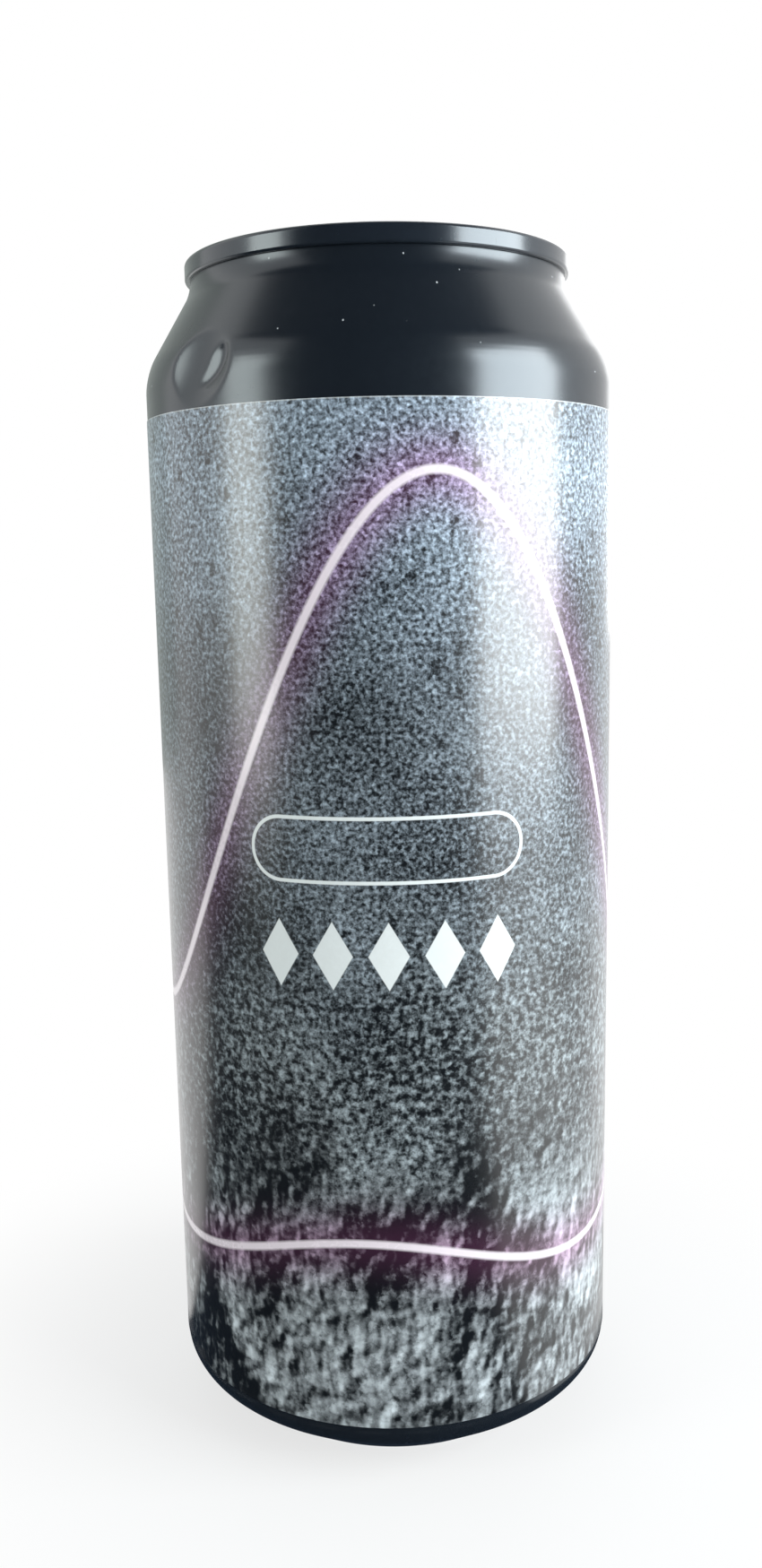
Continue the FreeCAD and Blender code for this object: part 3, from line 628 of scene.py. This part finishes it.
def weigh_normals(mesh, crease):
    """Gives each corner the mean normal of the faces there within the crease angle, by area."""
    around = [[] for _ in mesh.vertices]
    for face in mesh.polygons:
        for vertex in face.vertices:
            around[vertex].append((face.normal.copy(), face.area))
    normals = []
    for face in mesh.polygons:
        own = face.normal.copy()
        for vertex in face.vertices:
            mean = Vector()
            for normal, area in around[vertex]:
                if own.angle(normal, 0) < crease:
                    mean += normal * area
            normals.append(mean.normalized())
    mesh.normals_split_custom_set(normals)


def new_piece(bm, name, material, node, crease=None):
    """Makes a piece of a mesh, rides it on the body and lets it stand for its CAD node."""
    if not bm.faces:
        raise RuntimeError(f"{name} has no faces")
    for face in bm.faces:
        face.smooth = True
    mesh = bpy.data.meshes.new(name)
    bm.to_mesh(mesh)
    bm.free()
    if crease is not None:
        mesh.set_sharp_from_angle(angle=crease)
        weigh_normals(mesh, crease)
    mesh.materials.append(material)
    piece = bpy.data.objects.new(name, mesh)
    bpy.context.scene.collection.objects.link(piece)
    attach(piece, BODY)
    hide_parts(node)
    return piece


def blow_axes(bearing, tilt, lean):
    """Long, cross and outward directions of a blow from a bearing and an upward tilt."""
    across = Vector((math.cos(bearing), math.sin(bearing), 0))
    level_out = Vector((math.sin(bearing), -math.cos(bearing), 0))
    outward = level_out * math.cos(tilt) + UP * math.sin(tilt)
    upward = outward.cross(across)
    long_way = upward * math.cos(lean) + across * math.sin(lean)
    return long_way, across * math.cos(lean) - upward * math.sin(lean), outward


def softened(excess, softness):
    """The excess above 0, and nothing below it, with a soft turn between the two."""
    ratio = excess / softness
    if abs(ratio) > 30:
        return max(excess, 0)
    return softness * math.log1p(math.exp(ratio))


def press_hollow(bm, floor, axes, half_length, half_width, rise, power, lip):
    """Pushes the wall down to a dish round its deepest point, with soft edges.

    The dish has climbed by the rise at its half width. A higher power makes its floor flatter.
    Past its reach, in half widths, the wall is left alone.
    """
    long_way, cross_way, out_way = axes
    for vert in bm.verts:
        away = vert.co - floor
        spread = math.hypot(away.dot(long_way) / half_length, away.dot(cross_way) / half_width)
        if spread <= DISH_REACH:
            vert.co -= out_way * softened(away.dot(out_way) - rise * spread**power, lip)


class Knock(NamedTuple):
    """One of the knocks that make the dent. Places and sizes are shares of the dent's own size,
    climb and depth shares of its own depth, and angles are in degrees.
    """

    aside: float
    above: float
    turn: float
    tilt: float
    lean: float
    long: float
    wide: float
    climb: float
    deep: float
    power: float


KNOCKS = (
    Knock(
        aside=0.00, above=0.00, turn=-9, tilt=14, lean=14,
        long=1.25, wide=1.00, climb=0.65, deep=1.00, power=2,
    ),
    Knock(
        aside=-0.16, above=0.16, turn=12, tilt=3, lean=48,
        long=0.58, wide=0.30, climb=0.26, deep=1.26, power=4,
    ),
    Knock(
        aside=-0.56, above=-0.12, turn=13, tilt=4, lean=30,
        long=0.32, wide=0.20, climb=0.18, deep=1.02, power=3,
    ),
)


def knock_in(bm, knock, dent, middle):
    """Presses one knock into the wall near the dent's middle."""
    up, across, out = blow_axes(dent.bearing, dent.tilt, 0)
    aside = across * knock.aside + up * knock.above
    floor = middle + aside * dent.size - out * (knock.deep * dent.depth)
    axes = blow_axes(
        dent.bearing + math.radians(knock.turn),
        math.radians(knock.tilt),
        math.radians(knock.lean),
    )
    half_length, half_width = knock.long * dent.size, knock.wide * dent.size
    rise = knock.climb * dent.depth
    press_hollow(bm, floor, axes, half_length, half_width, rise, knock.power, dent.lip)


def dent_middle(shape, dent, shoulder_corner):
    """The place on the undented wall, or on its rounding into the shoulder, where the dent is."""
    wall_top = shoulder_corner - shape.shoulder_fillet * math.tan(shape.shoulder_angle / 2)
    rise = max(0, dent.height - wall_top)
    drop = shape.shoulder_fillet - math.sqrt(shape.shoulder_fillet**2 - rise**2)
    level_out = Vector((math.sin(dent.bearing), -math.cos(dent.bearing), 0))
    return level_out * (shape.body_radius - drop) + UP * dent.height


def draw_body(bm, shape, shoulder_corner):
    """Half of the body's section: dome, leg, standing ring, wall, shoulder, neck and plug seat."""
    half_slope = math.tan(shape.foot_angle / 2)
    half_nose = math.tan(math.radians(45) - shape.leg_lean / 2)
    stand_outer = shape.stand_radius + shape.stand_flat / 2 + shape.nose_fillet * half_slope
    stand_inner = shape.stand_radius - shape.stand_flat / 2 - shape.nose_fillet * half_nose
    leg_top = stand_inner - shape.leg_height * math.tan(shape.leg_lean)
    heel = (shape.body_radius - stand_outer) * math.tan(shape.foot_angle)
    plug_radius = shape.neck_radius - shape.neck_wall

    dome_rise = shape.dome_depth - shape.leg_height
    dome_radius = (leg_top**2 + dome_rise**2) / (2 * dome_rise)
    apex = bm.verts.new((0, 0, shape.dome_depth))
    arc = bmesh.ops.spin(
        bm,
        geom=[apex],
        cent=(0, 0, shape.dome_depth - dome_radius),
        axis=(0, 1, 0),
        angle=math.asin(leg_top / dome_radius),
        steps=18,
    )
    dome_edge = next(g for g in arc["geom_last"] if isinstance(g, bmesh.types.BMVert))
    corners = (
        (stand_inner, 0, shape.nose_fillet),
        (stand_outer, 0, shape.nose_fillet),
        (shape.body_radius, heel, shape.heel_fillet),
        (shape.body_radius, shoulder_corner, shape.shoulder_fillet),
        (shape.neck_radius, shape.body_top - shape.neck_land, shape.neck_fillet),
        (shape.neck_radius, shape.body_top, 0),
        (plug_radius, shape.body_top, 0),
        (plug_radius, shape.end_floor, 0),
        (0, shape.end_floor, 0),
    )
    add_outline(bm, (dome_edge, shape.dome_fillet), corners, math.radians(5))


def cut_rows(bm, shape, dent):
    """Cuts the section into short steps: finest at the dent, and coarser at neck and foot."""
    dent_row, neck_row, foot_row, bare_wall = 0.00036, 0.0010, 0.0020, 0.05
    dent_low = dent.height - DISH_REACH * dent.size
    dent_high = dent.height + 1.5 * dent.size
    wire = [*bm.verts, *bm.edges]
    bmesh.ops.bisect_plane(bm, geom=wire, plane_co=(0, 0, dent_low), plane_no=UP)
    cut_long_edges(bm, dent_low, dent_high, dent_row)
    cut_long_edges(bm, dent_high, shape.body_top, neck_row)
    cut_long_edges(bm, 0, LABEL_LOW.z, foot_row)
    wall = [e for e in bm.edges if e.calc_length() > bare_wall]
    bmesh.ops.bisect_edges(bm, edges=wall, cuts=1, edge_percents={})


class CAN_OT_body(bpy.types.Operator):
    """Drawn body: domed foot, straight wall, shoulder, neck and the dent"""

    bl_idname = "drinks_can.body"
    bl_label = "Body"

    def execute(self, context):
        shape = context.scene.can_shape
        dent = context.scene.can_dent
        cone_rise = (shape.body_radius - shape.neck_radius) / math.tan(shape.shoulder_angle)
        shoulder_corner = shape.body_top - shape.neck_land - cone_rise
        bm = bmesh.new()
        draw_body(bm, shape, shoulder_corner)
        cut_rows(bm, shape, dent)
        spin_wire(bm, shape.steps)
        close_turn(bm)
        middle = dent_middle(shape, dent, shoulder_corner)
        for knock in KNOCKS:
            knock_in(bm, knock, dent, middle)
        bmesh.ops.recalc_face_normals(bm, faces=bm.faces)
        material = lacquer_material(context.scene.can_lacquer, shape)
        new_piece(bm, "body", material, "can_body")
        return {"FINISHED"}


def past(point, bearing):
    """How far round the axis a point lies past a bearing, between minus and plus half a turn."""
    return math.remainder(math.atan2(point.y, point.x) - bearing, TURN)


def strip_section(bm, inner, outer):
    """Section of the label's film, its two long sides in sixteen steps."""
    corners = (
        (inner, LABEL_LOW.z),
        (outer, LABEL_LOW.z),
        (outer, LABEL_HIGH.z),
        (inner, LABEL_HIGH.z),
    )
    section = [bm.verts.new((radius, 0, height)) for radius, height in corners]
    edges = [bm.edges.new((a, b)) for a, b in zip(section, [*section[1:], section[0]])]
    bmesh.ops.subdivide_edges(bm, edges=[edges[1], edges[3]], cuts=15)


def lift_lap(bm, start, lap_turn, inner, outer):
    """Lifts the film's last stretch by its own thickness, so that it lies over its start."""
    thickness = outer - inner
    ends = {v for v in bm.verts if abs(past(v.co, start)) < 1e-5}
    lip = {v for v in ends if past(v.link_faces[0].calc_center_median(), start) < 0}
    inside = [v for v in bm.verts if v not in ends]
    bmesh.ops.remove_doubles(bm, verts=inside, dist=WELD)
    for vert in bm.verts:
        radius = vert.co.xy.length
        turned = past(vert.co, start) + lap_turn
        if radius < outer - thickness / 2 or vert in ends - lip or turned <= 0:
            continue
        if vert in lip or turned < lap_turn:
            scale = 1 + thickness * min(1, turned / lap_turn) / radius
            vert.co = Vector((vert.co.x * scale, vert.co.y * scale, vert.co.z))


class CAN_OT_label(bpy.types.Operator):
    """Label wrapped once round the wall, its end lapped over its start at the back"""

    bl_idname = "drinks_can.label"
    bl_label = "Label"

    def execute(self, context):
        design = context.scene.can_label
        outer = LABEL_HIGH.x
        inner = outer - design.thickness
        lap_turn = design.lap / outer
        start = math.pi / 2 + lap_turn / 2
        bm = bmesh.new()
        strip_section(bm, inner, outer)
        turned = Matrix.Rotation(start, 3, "Z")
        bmesh.ops.rotate(bm, verts=bm.verts, cent=ORIGIN, matrix=turned)
        spin_wire(bm, context.scene.can_shape.steps)
        lift_lap(bm, start, lap_turn, inner, outer)
        open_ends = [e for e in bm.edges if e.is_boundary]
        bmesh.ops.holes_fill(bm, edges=open_ends, sides=0)
        bmesh.ops.recalc_face_normals(bm, faces=bm.faces)
        material = label_material(design)
        new_piece(bm, "label_wrap", material, "label", crease=math.radians(30))
        return {"FINISHED"}


def merged_copy(node):
    """A CAD node's triangles, joined where they meet.

    Its level flats become single faces and its curved strips quads, so that the shading over
    them is even.
    """
    bm = bmesh.new()
    bm.from_mesh(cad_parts[node].data)
    bmesh.ops.remove_doubles(bm, verts=bm.verts, dist=WELD)
    bm.normal_update()
    inner = [e for e in bm.edges if all(abs(f.normal.z) > 0.99999 for f in e.link_faces)]
    bmesh.ops.dissolve_limit(bm, angle_limit=math.radians(0.3), verts=[], edges=inner)
    bmesh.ops.join_triangles(
        bm,
        faces=[f for f in bm.faces if len(f.verts) == 3],
        angle_face_threshold=math.radians(24),
        angle_shape_threshold=math.radians(120),
    )
    return bm


def renew_ring(bm, shape, seam):
    """Turns a smooth outer ring for the end, from the panel's edge over the seam to the plug.

    It takes the place of the CAD's coarser one and is bridged to the panel.
    """
    seam_inner = END_HIGH.x - seam.width
    sink_outer = seam_inner - seam.sink_depth * math.tan(seam.chuck_angle)
    panel_radius = sink_outer - seam.sink_width
    panel_height = END_HIGH.z - seam.panel_depth
    sink_floor = END_HIGH.z - seam.sink_depth
    plug_radius = shape.neck_radius - shape.neck_wall
    flat_edge = panel_radius - seam.panel_fillet
    overlap, strip = 0.00002, 0.00015

    outer = [f for f in bm.faces if max(v.co.xy.length for v in f.verts) > flat_edge + overlap]
    bmesh.ops.delete(bm, geom=outer, context="FACES")
    rim = [v for v in bm.verts if v.is_boundary]
    inward = 1 - 2 * strip / flat_edge
    bmesh.ops.scale(bm, verts=rim, vec=(inward, inward, 1))

    ring = bmesh.new()
    start = ring.verts.new((flat_edge - strip, 0, panel_height))
    corners = (
        (panel_radius, panel_height, seam.panel_fillet),
        (panel_radius, sink_floor, seam.sink_fillet),
        (sink_outer, sink_floor, seam.sink_fillet),
        (seam_inner, END_HIGH.z, seam.crown),
        (END_HIGH.x, END_HIGH.z, seam.crown),
        (END_HIGH.x, shape.body_top, seam.hem),
        (plug_radius, shape.body_top, 0),
        (plug_radius, END_LOW.z, 0),
        (0, END_LOW.z, 0),
    )
    add_outline(ring, (start, 0), corners, math.radians(7))
    spin_wire(ring, seam.steps)
    close_turn(ring)
    mesh = bpy.data.meshes.new("ring")
    ring.to_mesh(mesh)
    ring.free()
    bm.from_mesh(mesh)
    bpy.data.meshes.remove(mesh)
    bmesh.ops.bridge_loops(bm, edges=[e for e in bm.edges if e.is_boundary])
    bmesh.ops.recalc_face_normals(bm, faces=bm.faces)


class CAN_OT_end(bpy.types.Operator):
    """Seamed-on end, with its countersink, panel, score lines and rivet"""

    bl_idname = "drinks_can.end"
    bl_label = "End"

    def execute(self, context):
        material = end_material(context.scene.can_lacquer, "gloss_black_end", scored=True)
        bm = merged_copy("can_end")
        renew_ring(bm, context.scene.can_shape, context.scene.can_seam)
        new_piece(bm, "seamed_end", material, "can_end", crease=math.radians(32))
        return {"FINISHED"}


class CAN_OT_tab(bpy.types.Operator):
    """Stay-on tab with its curled edge, web and finger hole"""

    bl_idname = "drinks_can.tab"
    bl_label = "Tab"

    def execute(self, context):
        material = end_material(context.scene.can_lacquer, "gloss_black_tab", scored=False)
        bm = merged_copy("tab")
        new_piece(bm, "stay_on_tab", material, "tab", crease=math.radians(32))
        return {"FINISHED"}


# ---------------------------------------------------------------- stage

def seen_plainly(recipe):
    """1 for camera, glossy and transmission rays."""
    rays = [
        recipe.node("ShaderNodeLightPath", output=f"Is {kind} Ray")
        for kind in ("Camera", "Glossy", "Transmission")
    ]
    return (rays[0] + rays[1] + rays[2]).clamped()


def stage_object(name, bm, material):
    mesh = bpy.data.meshes.new(name)
    bm.to_mesh(mesh)
    bm.free()
    mesh.materials.append(material)
    made = bpy.data.objects.new(name, mesh)
    bpy.context.scene.collection.objects.link(made)
    return made


def floor_material(stage):
    """Pale table that keeps a soft shadow. It can be seen through from below."""
    r = new_recipe("pale_floor")
    matt = r.node(
        "ShaderNodeBsdfDiffuse", None, {"Color": stage.floor_colour, "Roughness": 0.0}
    )
    glow = r.node("ShaderNodeEmission", None, {"Color": WHITE, "Strength": 1.0})
    _, x, y, _ = r.place()
    far = ((x * x + y * y) ** 0.5).rising(0.034, 0.100)
    top = r.node("ShaderNodeMixShader", None, [seen_plainly(r) * (0.70 + far * 0.30), matt, glow])
    below = r.node("ShaderNodeNewGeometry", output="Backfacing")
    clear = r.node("ShaderNodeBsdfTransparent", None, {"Color": WHITE})
    shader = r.node("ShaderNodeMixShader", None, [below, top, clear])
    r.node("ShaderNodeOutputMaterial", None, [shader])
    return r.owner


def flag_material(name, tone):
    r = new_recipe(name)
    glow = r.node("ShaderNodeEmission", None, {"Color": tone, "Strength": 1.0})
    r.node("ShaderNodeOutputMaterial", None, [glow])
    return r.owner


def add_lamp(name, bearing, distance, height, lying, size, brightness, tone):
    """A rectangular lamp on one bearing. It faces the can, or upwards where it lies flat.

    The size is its width and its length, and the brightness is its radiance.
    """
    width, long = size
    light = bpy.data.lights.new(name, "AREA")
    light.shape = "RECTANGLE"
    light.size = width
    light.size_y = long
    light.energy = brightness * math.pi * width * long
    light.color = tone
    outward = Vector((math.sin(bearing), -math.cos(bearing), 0))
    across = Vector((math.cos(bearing), math.sin(bearing), 0))
    behind = -UP if lying else outward
    turned = Matrix((across, behind.cross(across), behind)).transposed().to_4x4()
    lamp = bpy.data.objects.new(name, light)
    bpy.context.scene.collection.objects.link(lamp)
    lamp.matrix_world = Matrix.Translation(outward * distance + UP * height) @ turned
    lamp.visible_camera = False
    return lamp


def add_flag(name, first, last, start, end, tone):
    """A card of one tone that only reflections see, turned round from one bearing to another.

    Its section is a straight line between two places, each a radius and a height.
    """
    bm = bmesh.new()
    near = bm.verts.new((0, -start[0], start[1]))
    far = bm.verts.new((0, -end[0], end[1]))
    bm.edges.new((near, far))
    bmesh.ops.rotate(bm, verts=bm.verts, cent=ORIGIN, matrix=Matrix.Rotation(first, 3, "Z"))
    bmesh.ops.spin(
        bm, geom=[*bm.verts, *bm.edges], cent=ORIGIN, axis=UP, angle=last - first, steps=24
    )
    flag = stage_object(name, bm, flag_material(name, tone))
    flag.visible_camera = False
    flag.visible_diffuse = False
    flag.visible_transmission = False
    flag.visible_shadow = False
    return flag


def light_world(scene, stage):
    """Even fill light, and white wherever the world itself is seen."""
    world = bpy.data.worlds.new("room")
    scene.world = world
    r = Recipe(world)
    fill = r.node(
        "ShaderNodeBackground", None, {"Color": (0.94, 0.98, 1.0), "Strength": stage.fill}
    )
    white = r.node("ShaderNodeBackground", None, {"Color": WHITE, "Strength": 1.0})
    both = r.node("ShaderNodeMixShader", None, [seen_plainly(r), fill, white])
    r.node("ShaderNodeOutputWorld", None, [both])


def aim_camera(scene, stage):
    pitch, yaw, roll = stage.camera_pitch, stage.camera_yaw, stage.camera_roll
    forward = Vector(
        (math.sin(yaw) * math.cos(pitch), math.cos(yaw) * math.cos(pitch), -math.sin(pitch))
    )
    right = Vector((math.cos(yaw), -math.sin(yaw), 0))
    up = right.cross(forward)
    turned = (
        right * math.cos(roll) + up * math.sin(roll),
        up * math.cos(roll) - right * math.sin(roll),
        -forward,
    )
    data = bpy.data.cameras.new("camera")
    data.lens = stage.camera_lens
    data.sensor_width = 36
    data.clip_start = 0.01
    camera = bpy.data.objects.new("camera", data)
    scene.collection.objects.link(camera)
    place = Vector((0, -stage.camera_distance, stage.camera_height))
    camera.matrix_world = Matrix.Translation(place) @ Matrix(turned).transposed().to_4x4()
    scene.camera = camera


def place_lamps(stage):
    """A tall lamp on each side, a wide one behind, and a small one that lies on the right."""
    for name, degrees, distance, height, lying, size, brightness, tone in (
        ("window", 68, 0.55, 0.25, False, (0.45, 0.46), stage.window, (0.93, 0.98, 1.0)),
        ("side_lamp", -65, 0.55, 0.23, False, (0.20, 0.42), stage.side, (0.96, 1.0, 0.95)),
        ("back_lamp", 180, 0.90, 0.48, False, (1.2, 0.85), stage.back, (1.0, 1.0, 1.0)),
        ("bounce", 68, 0.21, 0.001, True, (0.15, 0.17), stage.bounce, (0.95, 1.0, 1.0)),
    ):
        add_lamp(name, math.radians(degrees), distance, height, lying, size, brightness, tone)


def place_cards(stage):
    """Cards round, over and just above the floor, for the can's dark and grey reflections."""
    wide, tall, skim = 0.62, 1.6, 0.0004
    for name, first, last, start, end, tone in (
        ("front_flag", -49, 43, (wide, 0.0), (wide, tall), stage.dark_card),
        ("top_flag", -100, 95, (0.01, tall), (1.40, tall), stage.dark_card),
        ("floor_flag", -100, 45, (0.040, skim), (wide, skim), stage.dark_card),
        ("foot_flag", -180, 180, (0.0246, skim), (0.040, skim), stage.dark_card),
        ("left_flag", -175, -122, (wide, 0.0), (wide, tall), stage.grey_card),
    ):
        add_flag(name, math.radians(first), math.radians(last), start, end, tone)


class CAN_OT_stage(bpy.types.Operator):
    """Pale floor, lamps, cards for the reflections, and the camera"""

    bl_idname = "drinks_can.stage"
    bl_label = "Stage"

    def execute(self, context):
        scene = context.scene
        stage = scene.can_stage
        scene.view_settings.view_transform = "Standard"
        half_side, drop = 3, 0.00002
        bm = bmesh.new()
        bmesh.ops.create_grid(bm, x_segments=1, y_segments=1, size=half_side)
        bmesh.ops.translate(bm, verts=bm.verts, vec=(0, 0, -drop))
        stage_object("floor", bm, floor_material(stage))
        place_lamps(stage)
        place_cards(stage)
        light_world(scene, stage)
        aim_camera(scene, stage)
        return {"FINISHED"}


# ---------------------------------------------------------------- add-on

GROUPS = {
    "can_shape": CanShape,
    "can_seam": CanSeam,
    "can_dent": CanDent,
    "can_label": CanLabel,
    "can_lacquer": CanLacquer,
    "can_stage": CanStage,
}
OPERATORS = (CAN_OT_body, CAN_OT_label, CAN_OT_end, CAN_OT_tab, CAN_OT_stage)


class CAN_PT_panel(bpy.types.Panel):
    """Sizes, colours and steps of the can"""

    bl_idname = "CAN_PT_panel"
    bl_label = "Drinks Can"
    bl_space_type = "VIEW_3D"
    bl_region_type = "UI"
    bl_category = "Drinks Can"

    def draw(self, context):
        for operator in OPERATORS:
            self.layout.operator(operator.bl_idname)
        for attribute, group in GROUPS.items():
            box = self.layout.box()
            box.label(text=group.__name__)
            for name in group.__annotations__:
                box.prop(getattr(context.scene, attribute), name)


def register():
    for cls in (*GROUPS.values(), *OPERATORS, CAN_PT_panel):
        bpy.utils.register_class(cls)
    for attribute, group in GROUPS.items():
        setattr(bpy.types.Scene, attribute, PointerProperty(type=group))


def unregister():
    for attribute in GROUPS:
        delattr(bpy.types.Scene, attribute)
    for cls in reversed((*GROUPS.values(), *OPERATORS, CAN_PT_panel)):
        bpy.utils.unregister_class(cls)


def main():
    register()
    bpy.ops.drinks_can.body()
    bpy.ops.drinks_can.label()
    bpy.ops.drinks_can.end()
    bpy.ops.drinks_can.tab()
    bpy.ops.drinks_can.stage()


if __name__ == "__main__":
    main()
